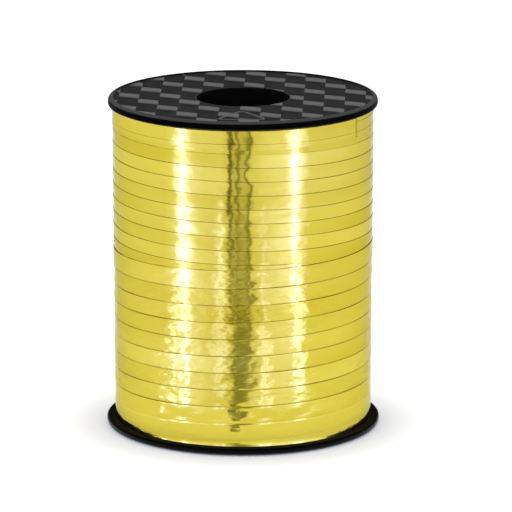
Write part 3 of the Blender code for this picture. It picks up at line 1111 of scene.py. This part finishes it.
# %% [markdown]
# ## The outermost layer
#
# The upper half is a left-handed helix, whose turns each cover the lower edge of the turn above. The lower
# half is right-handed, and each turn covers the upper edge of the turn below. At the flanges the ribbon
# dwells for a turn before it comes back, and slips under the turn that follows. Near the bottom the pack
# rounds in.

# %% Paths of the outermost layer
UPPER_PITCH = 3.63 * MM
LOWER_PITCH = 4.47 * MM
LAYER_STEP = 0.15 * MM  # how far one turn stands over the next
FOOT_STEP = 0.05 * MM  # and at the lower flange, where they lie flush
FLUSH_BELOW = 10.4 * MM
LAYER_RADIUS = 33.80 * MM
UPPER_FOOT = 47.68 * MM  # middle of the upper helix's lowest turn, at the front
UPPER_END = 26
LOWER_HEAD = 46.35 * MM  # middle of the lower helix's highest turn, at the front
LOWER_END = -185
CLIMB_START = 100  # the last turn leaves the lower helix here, and reaches the top flange at the next
CLIMB_END = 260
NEAR_FLANGE = 77.1 * MM  # above this the upper turns crowd together
CROWDING = 0.75
ROUNDING_START = 7.0 * MM
ROUNDING = 0.24 * MM
FLARE_START = 3.3 * MM
FLARE = 0.30 * MM
SWELL = 0.2 * MM  # how much fuller the pack is above its middle

top_middle = high_face - SOLID_GAP - FILM_WIDTH / 2
low_middle = low_face + 0.04 * MM + FILM_WIDTH / 2


def pack_drop(z, azimuth=90):
    """The pack rounds in a little near the lower flange, and the last edge flares out against it in places."""
    rounding = max(ROUNDING_START - z, 0) / (ROUNDING_START - low_face)
    flare = math.cos(math.radians(azimuth)) * max(FLARE_START - z, 0) / (FLARE_START - low_face)
    return ROUNDING * rounding**2 - FLARE * flare**2 - SWELL * ease((z - 35 * MM) / (30 * MM))


def upper_path(azimuth):
    z = UPPER_FOOT - UPPER_PITCH * azimuth / 360
    z = min(z, NEAR_FLANGE + (z - NEAR_FLANGE) * CROWDING)
    sunk = max(z - top_middle, 0) / (UPPER_PITCH * CROWDING) * LAYER_STEP
    return min(z, top_middle), LAYER_RADIUS - sunk, LAYER_STEP / UPPER_PITCH


def lower_height(azimuth):
    return LOWER_HEAD + LOWER_PITCH * azimuth / 360


def lower_path(azimuth):
    z = lower_height(azimuth)
    sunk = FOOT_STEP * ease(4 * (low_middle - z) / LOWER_PITCH)
    lean = -LAYER_STEP / LOWER_PITCH * ease((z - FLUSH_BELOW) / (3 * MM))
    return max(z, low_middle), LAYER_RADIUS - sunk, lean


def turn_tones(seed):
    """A tone for each turn, from 0 to 1."""
    return lambda turns_along: random.Random(seed * 7919 + math.floor(turns_along)).random()


print(f"upper turns from {UPPER_FOOT / MM:.1f} mm up, lower turns from {LOWER_HEAD / MM:.1f} mm down")


# %% Upper and lower turns
def add_turns(name, node, start, end, path, seed, **options):
    ripples = Ripples(seed, ripple_gain)
    obj = strip(name, stations_between(start, end, path), ripples, tones=turn_tones(seed), **options)
    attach(obj, "spool")
    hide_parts(node)
    print(f"{name}: {(end - start) / 360:.1f} turns, {len(obj.data.polygons)} faces")


upper_start = -360 * (NEAR_FLANGE + (top_middle - NEAR_FLANGE) / CROWDING - UPPER_FOOT) / UPPER_PITCH - 360
lower_start = -360 * (LOWER_HEAD - low_middle) / LOWER_PITCH - 360
add_turns(
    "upper_film_turns", "ribbon_upper_turns", upper_start, UPPER_END, upper_path, 3, drop=pack_drop,
    wear=(1.0, 0.55), visible=(1 - 2 * UPPER_PITCH / FILM_WIDTH, 1.0), covered_to=UPPER_END - 372,
)
add_turns(
    "lower_film_turns", "ribbon_lower_turns", lower_start, LOWER_END, lower_path, 4, drop=pack_drop,
    visible=(-1.0, 2 * LOWER_PITCH / FILM_WIDTH - 1), covered_to=CLIMB_START - 360,
)

# %% [markdown]
# ## The last turn and the loose end
#
# The last turn lies over both helices. It passes the front at mid height, climbs behind the spool, and runs
# along under the top flange to its cut end, right of the front. Its last stretch can be peeled away, so it
# is a piece of its own, from a little before the line where it leaves the pack to the loose end.

# %% The last turn
LAST_RADIUS = LAYER_RADIUS + LAYER_STEP / 2 + FILM + 0.03 * MM
TOP_RUN_HEIGHT = 82.80 * MM
TOP_RUN_FALL = 0.10 * MM
CUT_BACK = 2.8  # degrees by which the film stops short of its solid
cut_end = cut_azimuth + 360 - CUT_BACK
peel_line = peel_azimuth + 360
LOOSE_START = peel_line - 12  # the loose piece begins a little before the peel line


def last_path(azimuth):
    run = max(azimuth - CLIMB_END, 0) / (cut_end - CLIMB_END)
    top_run = TOP_RUN_HEIGHT - TOP_RUN_FALL * run
    helix = lower_height(min(azimuth, CLIMB_START))
    climb = ease((azimuth - CLIMB_START) / (CLIMB_END - CLIMB_START))
    risen = ease((azimuth - LOWER_END) / 60)
    radius = LAYER_RADIUS + (LAST_RADIUS - LAYER_RADIUS) * risen
    lean = -LAYER_STEP / LOWER_PITCH * (1 - risen)
    return helix + (top_run - helix) * climb, radius, lean


def top_run_drape(azimuth):
    """Step over the edge of the turn below, along the flange."""
    return DRAPE_STEP * ease((azimuth - CLIMB_END) / 40)


add_turns(
    "last_film_turn", "ribbon_last_turn", LOWER_END, LOOSE_START, last_path, 5, drop=pack_drop,
    wear=(1.0, 0.6), drape=top_run_drape,
)

loose_end = strip(
    "loose_film_end",
    stations_between(LOOSE_START, cut_end, last_path, 0.5),
    Ripples(5, ripple_gain),
    drop=pack_drop,
    tones=turn_tones(5),
    wear=(1.0, 0.6),
    drape=top_run_drape,
    cut_at=cut_end,
)
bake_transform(loose_end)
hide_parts("ribbon_end")
print(f"loose end: {cut_end - peel_line:.0f} degrees, {len(loose_end.data.polygons)} faces")

# %% [markdown]
# ## The windings underneath
#
# Under the outermost layer lie some sixty more. They show only where the outer turns part: a sliver under
# the top flange, and a wedge at the back where the two helices draw away from each other. A turned ring
# with a shallow saw-tooth outline stands in for them.

# %% The windings
WINDING_TOOTH = 0.08 * MM
UNDERLAYER = 0.35 * MM  # from the outermost layer's middle down to the next layer
WINDING_PITCH = 4.1 * MM


def add_windings():
    low, high = low_face + 0.05 * MM, high_face - 0.05 * MM
    teeth = math.floor((high - low) / WINDING_PITCH)
    outer = LAYER_RADIUS - UNDERLAYER
    outline = [(outer, high)]
    for i in range(teeth):
        z = high - (i + 1) * WINDING_PITCH
        outline += [(outer - WINDING_TOOTH, z + 0.1 * MM), (outer, z)]
    inner = tube_outer + 0.05 * MM
    outline += [(outer, low), (inner, low), (inner, high)]
    outline = [(r - (pack_drop(z) if r > tube_outer + MM else 0), z) for r, z in outline]
    bm = turned(outline, FLANGE_STEPS)
    uv = bm.loops.layers.uv.new("film")
    for face in bm.faces:
        face.smooth = True
        for loop in face.loops:
            x, y, z = loop.vert.co
            loop[uv].uv = (math.radians(azimuth_of(x, y)) * winding_radius, z)
    creased = bm.verts.layers.float.new("creased")
    for vert in bm.verts:
        vert[creased] = creased_at(vert.co.z)
    obj = link_mesh("wound_layers", bm, [gold_film])
    obj.data.set_sharp_from_angle(angle=math.radians(30))
    lit_by_tent.objects.link(obj)
    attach(obj, "spool")
    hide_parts("ribbon_windings")
    return obj


windings = add_windings()
print("windings:", len(windings.data.polygons), "faces")

# %% [markdown]
# ## Tape
#
# A tab of clear tape holds the cut end down, and another, hidden under the windings, fixes the ribbon's
# start to the core. Clear tape is nearly invisible: little more than a faint gloss.

# %% Clear tape
TAPE_WIDTH = 4.4 * MM
TAPE_FILM = 0.05 * MM
TAPE_GAP = 0.12 * MM
TAPE_COLOUR = (0.93, 0.90, 0.72, 1)
TAPE_ALPHA = 0.012
TAPE_ROUGHNESS = (0.05, 0.25)


def make_tape():
    material, tree, shader = new_material("clear_tape")
    set_inputs(shader, Base_Color=TAPE_COLOUR, Alpha=TAPE_ALPHA)
    dust = add_node(tree, "TexNoise", {"Scale": 900.0, "Detail": 3.0}).outputs["Fac"]
    tree.links.new(remap(tree, dust, 0.0, 1.0, *TAPE_ROUGHNESS), shader.inputs["Roughness"])
    return material


clear_tape = make_tape()
start_tape = nodes["start_tape"]
start_tape.data.materials.clear()
start_tape.data.materials.append(clear_tape)


def tape_path(azimuth):
    z = last_path(cut_end)[0]
    on_film = ease((cut_end + 2 - azimuth) / 2)
    low = LAYER_RADIUS + LAYER_STEP / 2 + FILM / 2 + TAPE_FILM + TAPE_GAP
    return z, low + (LAST_RADIUS + FILM / 2 + TAPE_FILM + TAPE_GAP - low) * on_film, 0.0


end_tape = strip(
    "end_tape_tab",
    stations_between(min(tape_azimuths) + 360, max(tape_azimuths) + 360, tape_path, 0.5),
    Ripples(5, lambda z: 0.0),
    drop=pack_drop,
    thickness=TAPE_FILM,
    width=TAPE_WIDTH,
)
end_tape.data.materials.clear()
end_tape.data.materials.append(clear_tape)
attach(end_tape, "loose_end")
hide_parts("end_tape")
print("tape from", round(min(tape_azimuths)), "to", round(max(tape_azimuths)), "degrees")

# %% [markdown]
# ## Mould mark
#
# Mouldings carry small raised marks from the tool. This one is a plain triangle in front of the bore. It is
# swept: a half-round section follows a triangle with rounded corners.

# %% The mould mark
MARK_RIDGE = 0.36 * MM
MARK_RISE = 0.20 * MM
MARK_CORNER = 1.3 * MM
MARK_CORNERS = ((-0.3 * MM, -21.2 * MM), (4.0 * MM, -28.4 * MM), (-4.6 * MM, -28.4 * MM))
MARK_BENDS = 6
MARK_POINTS = 7


def mark_outline():
    """Points round the triangle, each with the outward direction there."""
    points = []
    for i, (x, y) in enumerate(MARK_CORNERS):
        heading = math.radians(90 - 120 * i)
        for k in range(MARK_BENDS + 1):
            a = heading + math.radians(60 - 120 * k / MARK_BENDS)
            points.append((x + MARK_CORNER * math.cos(a), y + MARK_CORNER * math.sin(a), a))
    return points


def add_mould_mark():
    bm = bmesh.new()
    rings = []
    for x, y, a in mark_outline():
        ring = []
        for k in range(MARK_POINTS):
            b = math.pi * k / (MARK_POINTS - 1)
            out = MARK_RIDGE * math.cos(b)
            place = (x + out * math.cos(a), y + out * math.sin(a), upper_face + MARK_RISE * math.sin(b))
            ring.append(bm.verts.new(place))
        rings.append(ring)
    for ring, following in zip(rings, rings[1:] + rings[:1]):
        for k in range(MARK_POINTS):
            bm.faces.new((ring[k - 1], ring[k], following[k], following[k - 1])).smooth = k > 0
    bmesh.ops.recalc_face_normals(bm, faces=bm.faces)
    obj = link_mesh("mould_mark", bm, [mark_plastic])
    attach(obj, "spool")
    across = [v.co.x for v in obj.data.vertices]
    print("mould mark", round((max(across) - min(across)) / MM, 1), "mm wide")


upper_face = spool_height + UPPER_LIP_RISE - LIP_HEIGHT
add_mould_mark()
